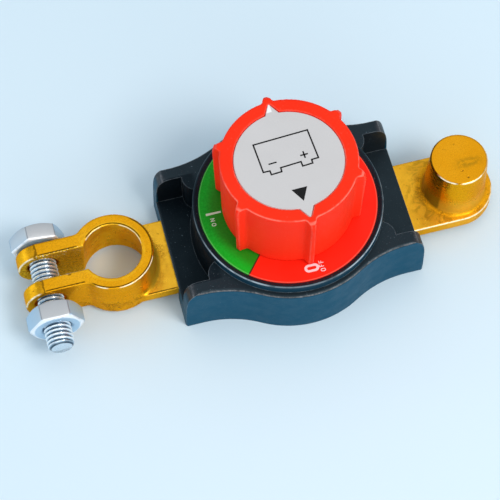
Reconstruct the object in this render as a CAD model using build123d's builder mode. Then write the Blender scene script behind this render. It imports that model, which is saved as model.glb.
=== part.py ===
from build123d import *
import os
from math import cos, sin, radians, degrees, sqrt, hypot, atan2

# Battery terminal disconnect switch: a quarter-turn rotary switch that sits
# between a battery post and the cable clamp. A split ring with two ears grips
# the battery post on the left (-X), a tapered post on the right (+X) takes the
# cable clamp, and the knob in the middle turns a spring-loaded bridge.
# Millimetres, +Z up. Origin: knob axis at the housing's bottom plane.

os.makedirs("parts", exist_ok=True)

# ------------------------------------------------------------ dimensions ----
# housing plan outline (tangent arcs, mirrored in both axes)
HX = 35.5             # half length at the underside
YE = 20.62            # half width of the straight ends
XC = 30.28            # where the straight end starts
MID_R = 28.36         # convex arc in the middle of each side
MID_Y = 0.43          # its centre above the X axis
H = 19.5              # height of the top surface
CORNER_R = 0.9        # plan corners
HX_MID, MID_Z = 34.9, 11.5       # end walls lean in up to here
ROLL_X = 30.0         # and roll over into the top from here on
TOP_EDGE_R = 0.85     # small round along the waisted top edge
# end channels and screw bosses
FLOOR_Z = 7.7
BLOCK_Y = 16.7        # inner wall of the corner blocks
BOSS_X, BOSS_Y, BOSS_R = 22.6, 15.9, 4.5
WALL_R0, WALL_R1 = 28.05, 27.1   # drafted round wall: at the channel floor, at the top surface
# rim and dial seat
RIM_TOP = 22.45
RIM_R = 27.0
RIM_IN = 25.5
SEAT_Z = 21.2
DIAL_R, DIAL_T, DIAL_HOLE = 25.4, 0.8, 9.0
# inside
POCKET_OFF = 2.4      # wall left around the base plate
Z_ST0, Z_ST1 = 3.355, 6.57       # underside and top of the brass strips
OUT_X = 35.55         # outside the housing the castings are thicker
Z_OUT_L, Z_OUT_R = 2.95, 2.6     # their undersides there
STRIP_W = 22.4
CAV_R, CAV_TOP = 24.4, 17.5
SHAFT_R, BORE_R = 6.0, 6.05
# base
BASE_T, GASKET_T = 2.6, 0.755
TRACK_Z = 7.97        # height that the bridge slides on
SEAT_DISC_R = 20.2
PAD_R0, PAD_R1 = 9.5, 18.6
TS_X, TS_Y = 24.0, 6.5           # strip screws
# clamp terminal
RING_X, RING_Z0 = -51.26, 1.95
RING_R, RING_R_BOT = 11.7, 12.0  # ring outside at its top and bottom
RING_HOLE_TOP, RING_HOLE_BOT = 8.35, 9.193    # 1:9 taper on the diameter
EAR_IN, EAR_OUT = 3.6, 7.8
BOLT_X, BOLT_Z = -71.2, 10.24
EAR_TOP = 17.125
EAR_R = (EAR_TOP - RING_Z0) / 2   # round ends of the ears
EAR_X, EAR_Z = -70.85, RING_Z0 + EAR_R
BOLT_HOLE_R, BOLT_HOLE_C = 4.4, 0.5
# post terminal
POST_X, POST_TOP = 50.65, 23.1
POST_R_TOP = 8.2
POST_R_BOT = POST_R_TOP + (POST_TOP - Z_ST1) / 18.0   # 1:9 taper on the diameter
# contacts
CONTACT_X, CONTACT_R, CONTACT_SHANK = 14.0, 4.5, 2.5
STRIP_IN = 8.0
# rotor group, turned by a few degrees as it rests
OFF_TURN = 3.0
CARR_R, CARR_Z0, CARR_Z1 = 13.0, 8.8, 16.95
BR_Z0, BR_Z1, BR_W, BR_L = 8.6, 11.6, 12.0, 38.0
SPRING_R, SPRING_WIRE = 3.6, 0.5
# knob
KNOB_Z0, KNOB_TOP = 22.4, 46.7
KNOB_R, RIB_R = 19.0, 21.35       # at the top
KNOB_R_FOOT, RIB_R_FOOT = 18.8, 20.8
RIB_BASE, RIB_TIP = 1.75, 0.5    # half widths
DISC_R, DISC_Z0, DISC_TOP = 15.0, 45.1, 46.4
TIP_R, TIP_W = 18.4, 2.2
SHAFT_TOP = 40.9
# clamp bolt (M8) and nut, both 14 mm across flats
THREAD_R = 3.95
HEX_AF = 14.0
HEAD_Y0, HEAD_Y1 = 9.1, 14.1
BOLT_END = -22.4
NUT_Y0, NUT_Y1 = -10.6, -16.3
HEAD_TURN, NUT_TURN = 47.1, -3.5


def kp(z):
    """Plane at height z, turned with the rotor group."""
    a = radians(OFF_TURN)
    return Plane(origin=(0, 0, z), x_dir=(cos(a), sin(a), 0), z_dir=(0, 0, 1))


# waisted plan outline: concave arcs are tangent to the middle arc and the ends
_a = YE - MID_Y
SIDE_R = (XC ** 2 + _a ** 2 - MID_R ** 2) / (2 * (MID_R - _a))
_cx, _cy = XC, YE + SIDE_R
_d = hypot(_cx, _cy - MID_Y)
TX, TY = MID_R * _cx / _d, MID_Y + MID_R * (_cy - MID_Y) / _d


def side_mid():
    a0 = -90.0
    a1 = degrees(atan2(TY - _cy, TX - _cx))
    if a1 > 0:
        a1 -= 360
    a = radians((a0 + a1) / 2)
    return _cx + SIDE_R * cos(a), _cy + SIDE_R * sin(a)


SMX, SMY = side_mid()

with BuildSketch() as outline:
    with BuildLine():
        Line((HX, -YE), (HX, YE))
        Line((HX, YE), (XC, YE))
        ThreePointArc((XC, YE), (SMX, SMY), (TX, TY))
        ThreePointArc((TX, TY), (0, MID_Y + MID_R), (-TX, TY))
        ThreePointArc((-TX, TY), (-SMX, SMY), (-XC, YE))
        Line((-XC, YE), (-HX, YE))
        Line((-HX, YE), (-HX, -YE))
        Line((-HX, -YE), (-XC, -YE))
        ThreePointArc((-XC, -YE), (-SMX, -SMY), (-TX, -TY))
        ThreePointArc((-TX, -TY), (0, -MID_Y - MID_R), (TX, -TY))
        ThreePointArc((TX, -TY), (SMX, -SMY), (XC, -YE))
        Line((XC, -YE), (HX, -YE))
    make_face()

BOSSES = [(sx * BOSS_X, sy * BOSS_Y) for sx in (-1, 1) for sy in (-1, 1)]

# cutter for the two end channels: a box less the round wall and the bosses
with BuildPart() as channel:
    with BuildSketch(Plane.XY.offset(FLOOR_Z)):
        with Locations((30, 0), (-30, 0)):
            Rectangle(22, 2 * BLOCK_Y)
    extrude(amount=20)
    slope = (WALL_R0 - WALL_R1) / (H - FLOOR_Z)
    with BuildSketch(Plane.XZ):
        with BuildLine():
            Polyline((0, FLOOR_Z - 1), (WALL_R0 + slope, FLOOR_Z - 1),
                     (WALL_R0 - 22 * slope, FLOOR_Z + 22), (0, FLOOR_Z + 22), close=True)
        make_face()
    revolve(axis=Axis.Z, mode=Mode.SUBTRACT)
    with BuildSketch(Plane.XY.offset(FLOOR_Z - 1)):
        with Locations(*BOSSES):
            Circle(BOSS_R)
    extrude(amount=25, mode=Mode.SUBTRACT)

# ---------------------------------------------------------------- housing ----
with BuildPart() as housing:
    with BuildSketch():
        add(outline.sketch)
    extrude(amount=H)
    fillet(housing.edges().filter_by(Axis.Z).filter_by(lambda e: abs(e.center().X) > HX - 0.1), CORNER_R)
    # worn round along the waisted top edge
    fillet(housing.edges().group_by(Axis.Z)[-1], TOP_EDGE_R)
    # end walls lean in and roll over into the top
    with BuildSketch(Plane.XZ) as roll:
        with BuildLine():
            Polyline((-HX_MID, MID_Z), (-HX, 0), (HX, 0), (HX_MID, MID_Z))
            Bezier((HX_MID, MID_Z), (HX_MID - 0.3, 16.5), (33.6, H), (ROLL_X, H))
            Line((ROLL_X, H), (-ROLL_X, H))
            Bezier((-ROLL_X, H), (-33.6, H), (-HX_MID + 0.3, 16.5), (-HX_MID, MID_Z))
        make_face()
    extrude(amount=40, both=True, mode=Mode.INTERSECT)
    add(channel.part, mode=Mode.SUBTRACT)
    # raised rim and the deck inside it
    with BuildSketch(Plane.XZ):
        with BuildLine():
            Polyline((0, 19.0), (WALL_R1 + 0.04, 19.0), (WALL_R1, H), (RIM_R + 0.04, RIM_TOP - 0.3),
                     (RIM_R - 0.2, RIM_TOP), (RIM_R - 0.5, RIM_TOP), (RIM_IN, RIM_TOP - 0.6),
                     (RIM_IN, SEAT_Z), (0, SEAT_Z), close=True)
        make_face()
    revolve(axis=Axis.Z)
    # pocket for the base plate, round cavity, strip notches
    with BuildSketch():
        add(outline.sketch)
        offset(amount=-POCKET_OFF, kind=Kind.ARC)
    extrude(amount=Z_ST0, mode=Mode.SUBTRACT)
    with BuildSketch(Plane.XY.offset(Z_ST0)):
        Circle(CAV_R)
    extrude(amount=CAV_TOP - Z_ST0, mode=Mode.SUBTRACT)
    with BuildSketch():
        with Locations((28.5, 0), (-28.5, 0)):
            Rectangle(17, STRIP_W + 0.2)
    extrude(amount=Z_ST1 + 0.03, mode=Mode.SUBTRACT)
    # spindle bore and the boss pilot holes
    with BuildSketch(Plane.XY.offset(15)):
        Circle(BORE_R)
    extrude(amount=10, mode=Mode.SUBTRACT)
    with BuildSketch(Plane.XY.offset(1)):
        with Locations(*BOSSES):
            Circle(1.5)
    extrude(amount=13, mode=Mode.SUBTRACT)
    # two stop ribs under the deck, one at each end of the lug's quarter turn
    with BuildSketch(kp(12.6)):
        with Locations((-19.9, -4.25)):
            Rectangle(9.4, 3.0)
        with Locations((4.25, 19.9)):
            Rectangle(3.0, 9.4)
    extrude(amount=5.4)
housing.part.label = "housing"
export_step(housing.part, "parts/housing.step")

# ------------------------------------------------------------- base plate ----
with BuildPart() as base_plate:
    with BuildSketch():
        add(outline.sketch)
        offset(amount=-POCKET_OFF - 0.1, kind=Kind.ARC)
    extrude(amount=BASE_T)
    # tongues that fill the notches under the strips
    with BuildSketch():
        with Locations((HX - 4.3, 0), (-(HX - 4.3), 0)):
            Rectangle(8, STRIP_W)
    extrude(amount=BASE_T)
    with BuildSketch(Plane.XY.offset(BASE_T)):
        Circle(SEAT_DISC_R)
    extrude(amount=Z_ST0 - BASE_T)
    # insulating pads that the bridge rests on at OFF
    with BuildSketch(Plane.XY.offset(Z_ST0)):
        Circle(PAD_R1)
        Circle(PAD_R0, mode=Mode.SUBTRACT)
        with Locations((0, 15.2), (0, -15.2)):
            Rectangle(17, 7.0, mode=Mode.INTERSECT)
    extrude(amount=TRACK_Z - Z_ST0)
    with BuildSketch(Plane.XY.offset(-1)):
        with Locations(*BOSSES):
            Circle(1.7)
        with Locations(*[(sx * TS_X, sy * TS_Y) for sx in (-1, 1) for sy in (-1, 1)]):
            Circle(2.2)
    extrude(amount=5, mode=Mode.SUBTRACT)
    # countersinks from below
    for (x, y), r, h in [(b, 3.0, 1.3) for b in BOSSES] + [((sx * TS_X, sy * TS_Y), 4.0, 1.8) for sx in (-1, 1) for sy in (-1, 1)]:
        with Locations((x, y, 0)):
            Cone(bottom_radius=r, top_radius=r - h, height=h,
                 align=(Align.CENTER, Align.CENTER, Align.MIN), mode=Mode.SUBTRACT)
base_plate.part.label = "base_plate"
export_step(base_plate.part, "parts/base_plate.step")

with BuildPart() as base_gasket:
    with BuildSketch(Plane.XY.offset(BASE_T)):
        add(outline.sketch)
        offset(amount=-POCKET_OFF - 0.2, kind=Kind.ARC)
        Circle(SEAT_DISC_R + 0.2, mode=Mode.SUBTRACT)
        with Locations(*BOSSES):
            Circle(2.0, mode=Mode.SUBTRACT)
        with Locations(*[(sx * TS_X, sy * TS_Y) for sx in (-1, 1) for sy in (-1, 1)]):
            Circle(2.4, mode=Mode.SUBTRACT)
    extrude(amount=GASKET_T - 0.005)
base_gasket.part.label = "base_gasket"
export_step(base_gasket.part, "parts/base_gasket.step")

with BuildPart() as base_screws:
    for x, y in BOSSES:
        with BuildSketch(Plane(origin=(x, y, 0), x_dir=(1, 0, 0), z_dir=(0, -1, 0))):
            with BuildLine():
                Polyline((0, 0.05), (2.9, 0.05), (1.48, 1.47), (1.48, 12.2), (0.6, 13.2), (0, 13.2), close=True)
            make_face()
        revolve(axis=Axis(origin=(x, y, 0), direction=(0, 0, 1)))
base_screws.part.label = "base_screws"
export_step(base_screws.part, "parts/base_screws.step")

with BuildPart() as terminal_screws:
    for x, y in [(sx * TS_X, sy * TS_Y) for sx in (-1, 1) for sy in (-1, 1)]:
        with BuildSketch(Plane(origin=(x, y, 0), x_dir=(1, 0, 0), z_dir=(0, -1, 0))):
            with BuildLine():
                Polyline((0, 0.05), (3.9, 0.05), (1.98, 1.97), (1.98, 6.2), (1.7, 6.5), (0, 6.5), close=True)
            make_face()
        revolve(axis=Axis(origin=(x, y, 0), direction=(0, 0, 1)))
terminal_screws.part.label = "terminal_screws"
export_step(terminal_screws.part, "parts/terminal_screws.step")

# --------------------------------------------------------- clamp terminal ----
with BuildPart() as clamp_terminal:
    # ring, a little wider at the bottom
    with BuildSketch(Plane(origin=(RING_X, 0, 0), x_dir=(1, 0, 0), z_dir=(0, -1, 0))):
        with BuildLine():
            Polyline((0, RING_Z0), (RING_R_BOT, RING_Z0), (RING_R, EAR_TOP), (0, EAR_TOP), close=True)
        make_face()
    revolve(axis=Axis(origin=(RING_X, 0, 0), direction=(0, 0, 1)))
    # the two straight ears with round ends
    with BuildSketch(Plane.XZ.offset(-EAR_OUT)):
        with Locations(((EAR_X + RING_X) / 2, EAR_Z)):
            Rectangle(RING_X - EAR_X, 2 * EAR_R)
        with Locations((EAR_X, EAR_Z)):
            Circle(EAR_R)
    extrude(amount=2 * EAR_OUT)
    # necks between ears and ring
    fillet(clamp_terminal.edges().filter_by(
        lambda e: -63 < e.center().X < -57 and abs(abs(e.center().Y) - EAR_OUT) < 0.3
        and abs(e.center().Z - EAR_Z) < 1 and e.length > 10), 2.5)
    # strip
    with BuildSketch(Plane.XY.offset(Z_ST0)):
        with Locations(((RING_X - STRIP_IN) / 2, 0)):
            Rectangle(-RING_X - STRIP_IN, STRIP_W)
    extrude(amount=Z_ST1 - Z_ST0)
    with BuildSketch(Plane.XY.offset(Z_OUT_L)):
        with Locations(((RING_X - OUT_X) / 2, 0)):
            Rectangle(-RING_X - OUT_X, STRIP_W)
    extrude(amount=Z_ST1 - Z_OUT_L)
    # tapered post hole, wider at the bottom
    with BuildSketch(Plane(origin=(RING_X, 0, 0), x_dir=(1, 0, 0), z_dir=(0, -1, 0))):
        t = (RING_HOLE_BOT - RING_HOLE_TOP) / (EAR_TOP - RING_Z0)
        with BuildLine():
            Polyline((0, 0), (RING_HOLE_BOT + t * RING_Z0, 0), (RING_HOLE_TOP - t * 5, EAR_TOP + 5), (0, EAR_TOP + 5), close=True)
        make_face()
    revolve(axis=Axis(origin=(RING_X, 0, 0), direction=(0, 0, 1)), mode=Mode.SUBTRACT)
    # slot between the ears
    with BuildSketch():
        with Locations(((-90 + RING_X) / 2, 0)):
            Rectangle(90 + RING_X, 2 * EAR_IN)
    extrude(amount=30, mode=Mode.SUBTRACT)
    # bolt hole through both ears
    with BuildSketch(Plane.XZ.offset(-12)):
        with Locations((BOLT_X, BOLT_Z)):
            Circle(BOLT_HOLE_R)
    extrude(amount=24, mode=Mode.SUBTRACT)
    # both ends of the bolt hole in each ear are countersunk a little
    for y0, r0, r1 in ((EAR_OUT, 1, 0), (EAR_IN, 0, 1), (-EAR_IN, 1, 0), (-EAR_OUT, 0, 1)):
        c = BOLT_HOLE_C
        with BuildSketch(Plane(origin=(BOLT_X, 0, BOLT_Z), x_dir=(1, 0, 0), z_dir=(0, 0, 1))):
            with BuildLine():
                lo, hi = (y0 - c, y0 + 0.01) if r0 else (y0 - 0.01, y0 + c)
                Polyline((0, lo), (BOLT_HOLE_R + (0 if r0 else c), lo), (BOLT_HOLE_R + (c if r0 else 0), hi), (0, hi), close=True)
            make_face()
        revolve(axis=Axis(origin=(BOLT_X, 0, BOLT_Z), direction=(0, 1, 0)), mode=Mode.SUBTRACT)
    # holes for the strip screws and the contact rivet
    with BuildSketch():
        with Locations((-TS_X, TS_Y), (-TS_X, -TS_Y)):
            Circle(2.0)
        with Locations((-CONTACT_X, 0)):
            Circle(CONTACT_SHANK)
    extrude(amount=10, mode=Mode.SUBTRACT)
clamp_terminal.part.label = "clamp_terminal"

# ---------------------------------------------------------- post terminal ----
with BuildPart() as post_terminal:
    with BuildSketch(Plane.XY.offset(Z_ST0)):
        with Locations(((POST_X + STRIP_IN) / 2, 0)):
            Rectangle(POST_X - STRIP_IN, STRIP_W)
        with Locations((POST_X, 0)):
            Circle(STRIP_W / 2)
    extrude(amount=Z_ST1 - Z_ST0)
    with BuildSketch(Plane.XY.offset(Z_OUT_R)):
        with Locations(((POST_X + OUT_X) / 2, 0)):
            Rectangle(POST_X - OUT_X, STRIP_W)
        with Locations((POST_X, 0)):
            Circle(STRIP_W / 2)
    extrude(amount=Z_ST1 - Z_OUT_R)
    with BuildSketch(Plane(origin=(POST_X, 0, 0), x_dir=(1, 0, 0), z_dir=(0, -1, 0))):
        with BuildLine():
            Polyline((0, 5), (POST_R_BOT, 5), (POST_R_BOT, Z_ST1), (POST_R_TOP + 0.02, POST_TOP - 0.35),
                     (POST_R_TOP - 0.33, POST_TOP), (0, POST_TOP), close=True)
        make_face()
    revolve(axis=Axis(origin=(POST_X, 0, 0), direction=(0, 0, 1)))
    with BuildSketch():
        with Locations((TS_X, TS_Y), (TS_X, -TS_Y)):
            Circle(2.0)
        with Locations((CONTACT_X, 0)):
            Circle(CONTACT_SHANK)
    extrude(amount=10, mode=Mode.SUBTRACT)
post_terminal.part.label = "post_terminal"

# edge rounds of the castings
with BuildPart() as clamp_final:
    add(clamp_terminal.part)
    es = clamp_final.edges()
    ring_base = es.filter_by(lambda e: abs(e.center().Z - Z_ST1) < 0.01 and e.geom_type == GeomType.CIRCLE
                             and RING_R - 0.01 < e.radius < RING_R_BOT + 0.01)
    fillet(ring_base, 1.3)
clamp_final.part.label = "clamp_terminal"
export_step(clamp_final.part, "parts/clamp_terminal.step")

with BuildPart() as post_final:
    add(post_terminal.part)
    es = post_final.edges()
    base = es.filter_by(lambda e: abs(e.center().Z - Z_ST1) < 0.01 and e.geom_type == GeomType.CIRCLE
                        and abs(e.radius - POST_R_BOT) < 0.01)
    fillet(base, 1.2)
post_final.part.label = "post_terminal"
export_step(post_final.part, "parts/post_terminal.step")

# --------------------------------------------------------- fixed contacts ----
for name, x in (("fixed_contact_left", -CONTACT_X), ("fixed_contact_right", CONTACT_X)):
    with BuildPart() as contact:
        with BuildSketch(Plane.XY.offset(Z_ST0)):
            with Locations((x, 0)):
                Circle(CONTACT_SHANK - 0.01)
        extrude(amount=Z_ST1 - Z_ST0)
        with BuildSketch(Plane.XY.offset(Z_ST1)):
            with Locations((x, 0)):
                Circle(CONTACT_R)
        extrude(amount=TRACK_Z - Z_ST1)
        chamfer(contact.edges().group_by(Axis.Z)[-1], 0.35)
    contact.part.label = name
    export_step(contact.part, "parts/%s.step" % name)

# ------------------------------------------------------------------ rotor ----
with BuildPart() as rotor:
    with BuildSketch(kp(CARR_Z0)):
        Circle(CARR_R)
    extrude(amount=CARR_Z1 - CARR_Z0)
    # stop lug
    with BuildSketch(kp(13.2)):
        with Locations((-15.2, 0)):
            Rectangle(6.6, 5.0)
    extrude(amount=3.4)
    # slot that carries the bridge
    with BuildSketch(kp(CARR_Z0)):
        Rectangle(BR_W + 0.3, 40)
    extrude(amount=12.4 - CARR_Z0, mode=Mode.SUBTRACT)
    with BuildSketch(kp(12.4)):
        Circle(4.7)
    extrude(amount=4.2, mode=Mode.SUBTRACT)
    # spindle: round through the deck, two flats inside the knob
    with BuildSketch(kp(CARR_Z1)):
        Circle(SHAFT_R)
    extrude(amount=22.6 - CARR_Z1)
    with BuildSketch(kp(22.6)):
        Circle(SHAFT_R)
        Rectangle(9.0, 14, mode=Mode.INTERSECT)
    extrude(amount=SHAFT_TOP - 22.6)
    # seal groove and clip groove
    with BuildSketch(kp(18.5)):
        Circle(SHAFT_R + 1)
        Circle(4.5, mode=Mode.SUBTRACT)
    extrude(amount=1.7, mode=Mode.SUBTRACT)
    with BuildSketch(kp(21.25)):
        Circle(SHAFT_R + 1)
        Circle(5.2, mode=Mode.SUBTRACT)
    extrude(amount=0.9, mode=Mode.SUBTRACT)
    with BuildSketch(kp(SHAFT_TOP - 12)):
        Circle(2.0)
    extrude(amount=14, mode=Mode.SUBTRACT)
rotor.part.label = "rotor"
export_step(rotor.part, "parts/rotor.step")

with BuildPart() as contact_bridge:
    with BuildSketch(kp(BR_Z0)) as bs:
        RectangleRounded(BR_W, BR_L, 2.0)
        with Locations((0, CONTACT_X), (0, -CONTACT_X)):
            Circle(2.0, mode=Mode.SUBTRACT)
    extrude(amount=BR_Z1 - BR_Z0)
contact_bridge.part.label = "contact_bridge"
export_step(contact_bridge.part, "parts/contact_bridge.step")

with BuildPart() as bridge_tips:
    with BuildSketch(kp(8.0)):
        with Locations((0, CONTACT_X), (0, -CONTACT_X)):
            Circle(4.0)
    extrude(amount=BR_Z0 - 8.0)
    with BuildSketch(kp(BR_Z0)):
        with Locations((0, CONTACT_X), (0, -CONTACT_X)):
            Circle(1.99)
    extrude(amount=BR_Z1 - BR_Z0)
bridge_tips.part.label = "bridge_tips"
export_step(bridge_tips.part, "parts/bridge_tips.step")

with BuildPart() as spring_seat:
    with BuildSketch(kp(BR_Z1)):
        Circle(4.5)
        Circle(2.0, mode=Mode.SUBTRACT)
    extrude(amount=0.6)
spring_seat.part.label = "spring_seat"
export_step(spring_seat.part, "parts/spring_seat.step")

# coil spring, three turns of round wire
with BuildPart() as contact_spring:
    with BuildLine() as coil:
        Helix(pitch=1.12, height=3.36, radius=SPRING_R, center=(0, 0, 12.72))
    with BuildSketch(Plane(origin=coil.line @ 0, z_dir=coil.line % 0)):
        Circle(SPRING_WIRE)
    sweep(path=coil.line, is_frenet=True)
contact_spring.part.label = "contact_spring"
export_step(contact_spring.part, "parts/contact_spring.step")

with BuildPart() as thrust_washer:
    with BuildSketch(kp(CARR_Z1)):
        Circle(11.5)
        Circle(6.1, mode=Mode.SUBTRACT)
    extrude(amount=0.5)
thrust_washer.part.label = "thrust_washer"
export_step(thrust_washer.part, "parts/thrust_washer.step")

with BuildPart() as shaft_seal:
    with BuildSketch(Plane.XZ):
        with Locations((5.27, 19.35)):
            Circle(0.75)
    revolve(axis=Axis.Z)
shaft_seal.part.label = "shaft_seal"
export_step(shaft_seal.part, "parts/shaft_seal.step")

with BuildPart() as retaining_clip:
    with BuildSketch(kp(21.3)):
        Circle(7.6)
        Circle(5.22, mode=Mode.SUBTRACT)
        with Locations((6, 0)):
            Rectangle(8, 6.4, mode=Mode.SUBTRACT)
    extrude(amount=0.8)
retaining_clip.part.label = "retaining_clip"
export_step(retaining_clip.part, "parts/retaining_clip.step")

# ------------------------------------------------------------- dial plate ----
with BuildPart() as dial_plate:
    with BuildSketch(Plane.XY.offset(SEAT_Z)):
        Circle(DIAL_R)
        Circle(DIAL_HOLE, mode=Mode.SUBTRACT)
    extrude(amount=DIAL_T)
dial_plate.part.label = "dial_plate"
export_step(dial_plate.part, "parts/dial_plate.step")


# ------------------------------------------------------------------- knob ----
def rib_points(a):
    """Trapezoid ridge pointing along angle a (degrees)."""
    c, s = cos(radians(a)), sin(radians(a))
    pts = [(KNOB_R - 1.0, -RIB_BASE - 0.2), (RIB_R, -RIB_TIP), (RIB_R, RIB_TIP), (KNOB_R - 1.0, RIB_BASE + 0.2)]
    return [(x * c - y * s, x * s + y * c) for x, y in pts]


def disc_outline(r, tip):
    """Round disc with two pointed tips along local Y."""
    Circle(r)
    for s in (1, -1):
        Polygon((-TIP_W - (r - DISC_R), s * (r - 0.6)), (0, s * tip), (TIP_W + (r - DISC_R), s * (r - 0.6)), align=None)


# the six grip ribs, their tops sloping down towards the tips
with BuildPart() as ribs:
    with BuildSketch(kp(KNOB_Z0)):
        for k in range(6):
            Polygon(*rib_points(30 + 60 * k), align=None)
    extrude(amount=KNOB_TOP - KNOB_Z0)
    with BuildSketch(Plane.XZ):
        with BuildLine():
            Polyline((0, KNOB_Z0 - 1), (RIB_R_FOOT, KNOB_Z0 - 1), (RIB_R, KNOB_TOP - 3.0),
                     (RIB_R - 0.35, KNOB_TOP - 1.0), (RIB_R - 1.5, KNOB_TOP), (0, KNOB_TOP), close=True)
        make_face()
    revolve(axis=Axis.Z, mode=Mode.INTERSECT)

with BuildPart() as knob:
    with BuildSketch(Plane.XZ):
        with BuildLine():
            Polyline((0, KNOB_Z0), (KNOB_R_FOOT, KNOB_Z0), (KNOB_R, KNOB_TOP), (0, KNOB_TOP), close=True)
        make_face()
    revolve(axis=Axis.Z)
    fillet(knob.edges().group_by(Axis.Z)[-1], 0.5)
    add(ribs.part)
    # recess for the disc
    with BuildSketch(kp(DISC_Z0)):
        disc_outline(DISC_R + 0.2, TIP_R + 0.2)
    extrude(amount=5, mode=Mode.SUBTRACT)
    # hollow underneath, with a hub round the spindle
    with BuildSketch(kp(KNOB_Z0)):
        Circle(16.3)
    extrude(amount=0.5, mode=Mode.SUBTRACT)
    with BuildSketch(kp(KNOB_Z0 + 0.5)):
        Circle(16.3)
        Circle(9.5, mode=Mode.SUBTRACT)
    extrude(amount=18.1, mode=Mode.SUBTRACT)
    with BuildSketch(kp(KNOB_Z0)):
        Circle(SHAFT_R + 0.03)
        Rectangle(9.06, 14, mode=Mode.INTERSECT)
    extrude(amount=41.0 - KNOB_Z0, mode=Mode.SUBTRACT)
    # screw hole and the pocket for its head
    with BuildSketch(kp(40)):
        Circle(2.2)
    extrude(amount=8, mode=Mode.SUBTRACT)
    with BuildSketch(kp(42.0)):
        Circle(5.0)
    extrude(amount=6, mode=Mode.SUBTRACT)
knob.part.label = "knob"
export_step(knob.part, "parts/knob.step")

with BuildPart() as knob_disc:
    with BuildSketch(kp(DISC_Z0)):
        disc_outline(DISC_R, TIP_R)
    extrude(amount=DISC_TOP - DISC_Z0)
    chamfer(knob_disc.faces().sort_by(Axis.Z)[-1].outer_wire().edges(), 0.2)
knob_disc.part.label = "knob_disc"
export_step(knob_disc.part, "parts/knob_disc.step")

with BuildPart() as knob_washer:
    with BuildSketch(kp(42.0)):
        Circle(4.6)
        Circle(2.15, mode=Mode.SUBTRACT)
    extrude(amount=0.8)
knob_washer.part.label = "knob_washer"
export_step(knob_washer.part, "parts/knob_washer.step")

with BuildPart() as knob_screw:
    with BuildSketch(kp(42.8)):
        Circle(3.9)
    extrude(amount=1.8)
    chamfer(knob_screw.edges().group_by(Axis.Z)[-1], 0.5)
    with BuildSketch(kp(42.8)):
        Circle(1.98)
    extrude(amount=-12.8)
    # cross recess
    with BuildSketch(kp(43.7)):
        Rectangle(3.6, 0.8)
        Rectangle(0.8, 3.6)
    extrude(amount=2, mode=Mode.SUBTRACT)
knob_screw.part.label = "knob_screw"
export_step(knob_screw.part, "parts/knob_screw.step")


# --------------------------------------------------- clamp bolt and nut ----
def xz_plane(y):
    """Plane square to the bolt at y; sketch X is +X, sketch Y is +Z."""
    return Plane(origin=(BOLT_X, y, BOLT_Z), x_dir=(1, 0, 0), z_dir=(0, -1, 0))


HEX_R = HEX_AF / 2 / cos(radians(30))
with BuildPart() as clamp_bolt:
    with BuildSketch(xz_plane(HEAD_Y1)):
        RegularPolygon(HEX_R, 6, rotation=HEAD_TURN)
    extrude(amount=HEAD_Y1 - HEAD_Y0)
    # head chamfer: the hexagon is cut back by a cone on its outer face
    with BuildSketch(Plane(origin=(BOLT_X, 0, BOLT_Z), x_dir=(1, 0, 0), z_dir=(0, 0, 1))):
        with BuildLine():
            Polyline((0, HEAD_Y0 - 1), (HEX_R + 2, HEAD_Y0 - 1), (HEX_R + 2, HEAD_Y1 - 1.83), (HEX_AF / 2 * 0.95, HEAD_Y1), (0, HEAD_Y1), close=True)
        make_face()
    revolve(axis=Axis(origin=(BOLT_X, 0, BOLT_Z), direction=(0, 1, 0)), mode=Mode.INTERSECT)
    with BuildSketch(xz_plane(HEAD_Y0)):
        Circle(THREAD_R)
    extrude(amount=HEAD_Y0 - BOLT_END)
    chamfer(clamp_bolt.edges().group_by(Axis.Y)[0], 0.8)
clamp_bolt.part.label = "clamp_bolt"
export_step(clamp_bolt.part, "parts/clamp_bolt.step")

with BuildPart() as clamp_nut:
    with BuildSketch(xz_plane(NUT_Y0)):
        RegularPolygon(HEX_R, 6, rotation=NUT_TURN)
        Circle(THREAD_R + 0.05, mode=Mode.SUBTRACT)
    extrude(amount=NUT_Y0 - NUT_Y1)
    with BuildSketch(Plane(origin=(BOLT_X, 0, BOLT_Z), x_dir=(1, 0, 0), z_dir=(0, 0, 1))):
        with BuildLine():
            Polyline((0, NUT_Y1), (HEX_AF / 2 * 0.95, NUT_Y1), (HEX_R + 2, NUT_Y1 + 1.83), (HEX_R + 2, NUT_Y0 - 1.83),
                     (HEX_AF / 2 * 0.95, NUT_Y0), (0, NUT_Y0), close=True)
        make_face()
    revolve(axis=Axis(origin=(BOLT_X, 0, BOLT_Z), direction=(0, 1, 0)), mode=Mode.INTERSECT)
clamp_nut.part.label = "clamp_nut"
export_step(clamp_nut.part, "parts/clamp_nut.step")
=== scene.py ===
import math
import bpy
import bmesh
import numpy as np
from mathutils import Vector, Matrix, noise


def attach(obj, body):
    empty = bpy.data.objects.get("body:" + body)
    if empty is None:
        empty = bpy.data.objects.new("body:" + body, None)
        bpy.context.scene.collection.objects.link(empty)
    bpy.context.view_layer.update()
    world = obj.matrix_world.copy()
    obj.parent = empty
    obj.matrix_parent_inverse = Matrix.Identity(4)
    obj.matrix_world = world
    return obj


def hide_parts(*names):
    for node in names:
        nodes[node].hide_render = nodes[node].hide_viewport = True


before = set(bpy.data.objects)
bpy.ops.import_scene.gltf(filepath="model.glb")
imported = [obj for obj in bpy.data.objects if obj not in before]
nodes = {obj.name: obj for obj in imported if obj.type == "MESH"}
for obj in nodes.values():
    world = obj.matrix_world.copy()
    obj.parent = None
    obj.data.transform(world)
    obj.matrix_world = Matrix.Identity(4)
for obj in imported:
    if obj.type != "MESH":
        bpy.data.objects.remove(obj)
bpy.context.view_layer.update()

MM = 0.001
scene = bpy.context.scene
OFF_TURN = math.radians(3.0)


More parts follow.
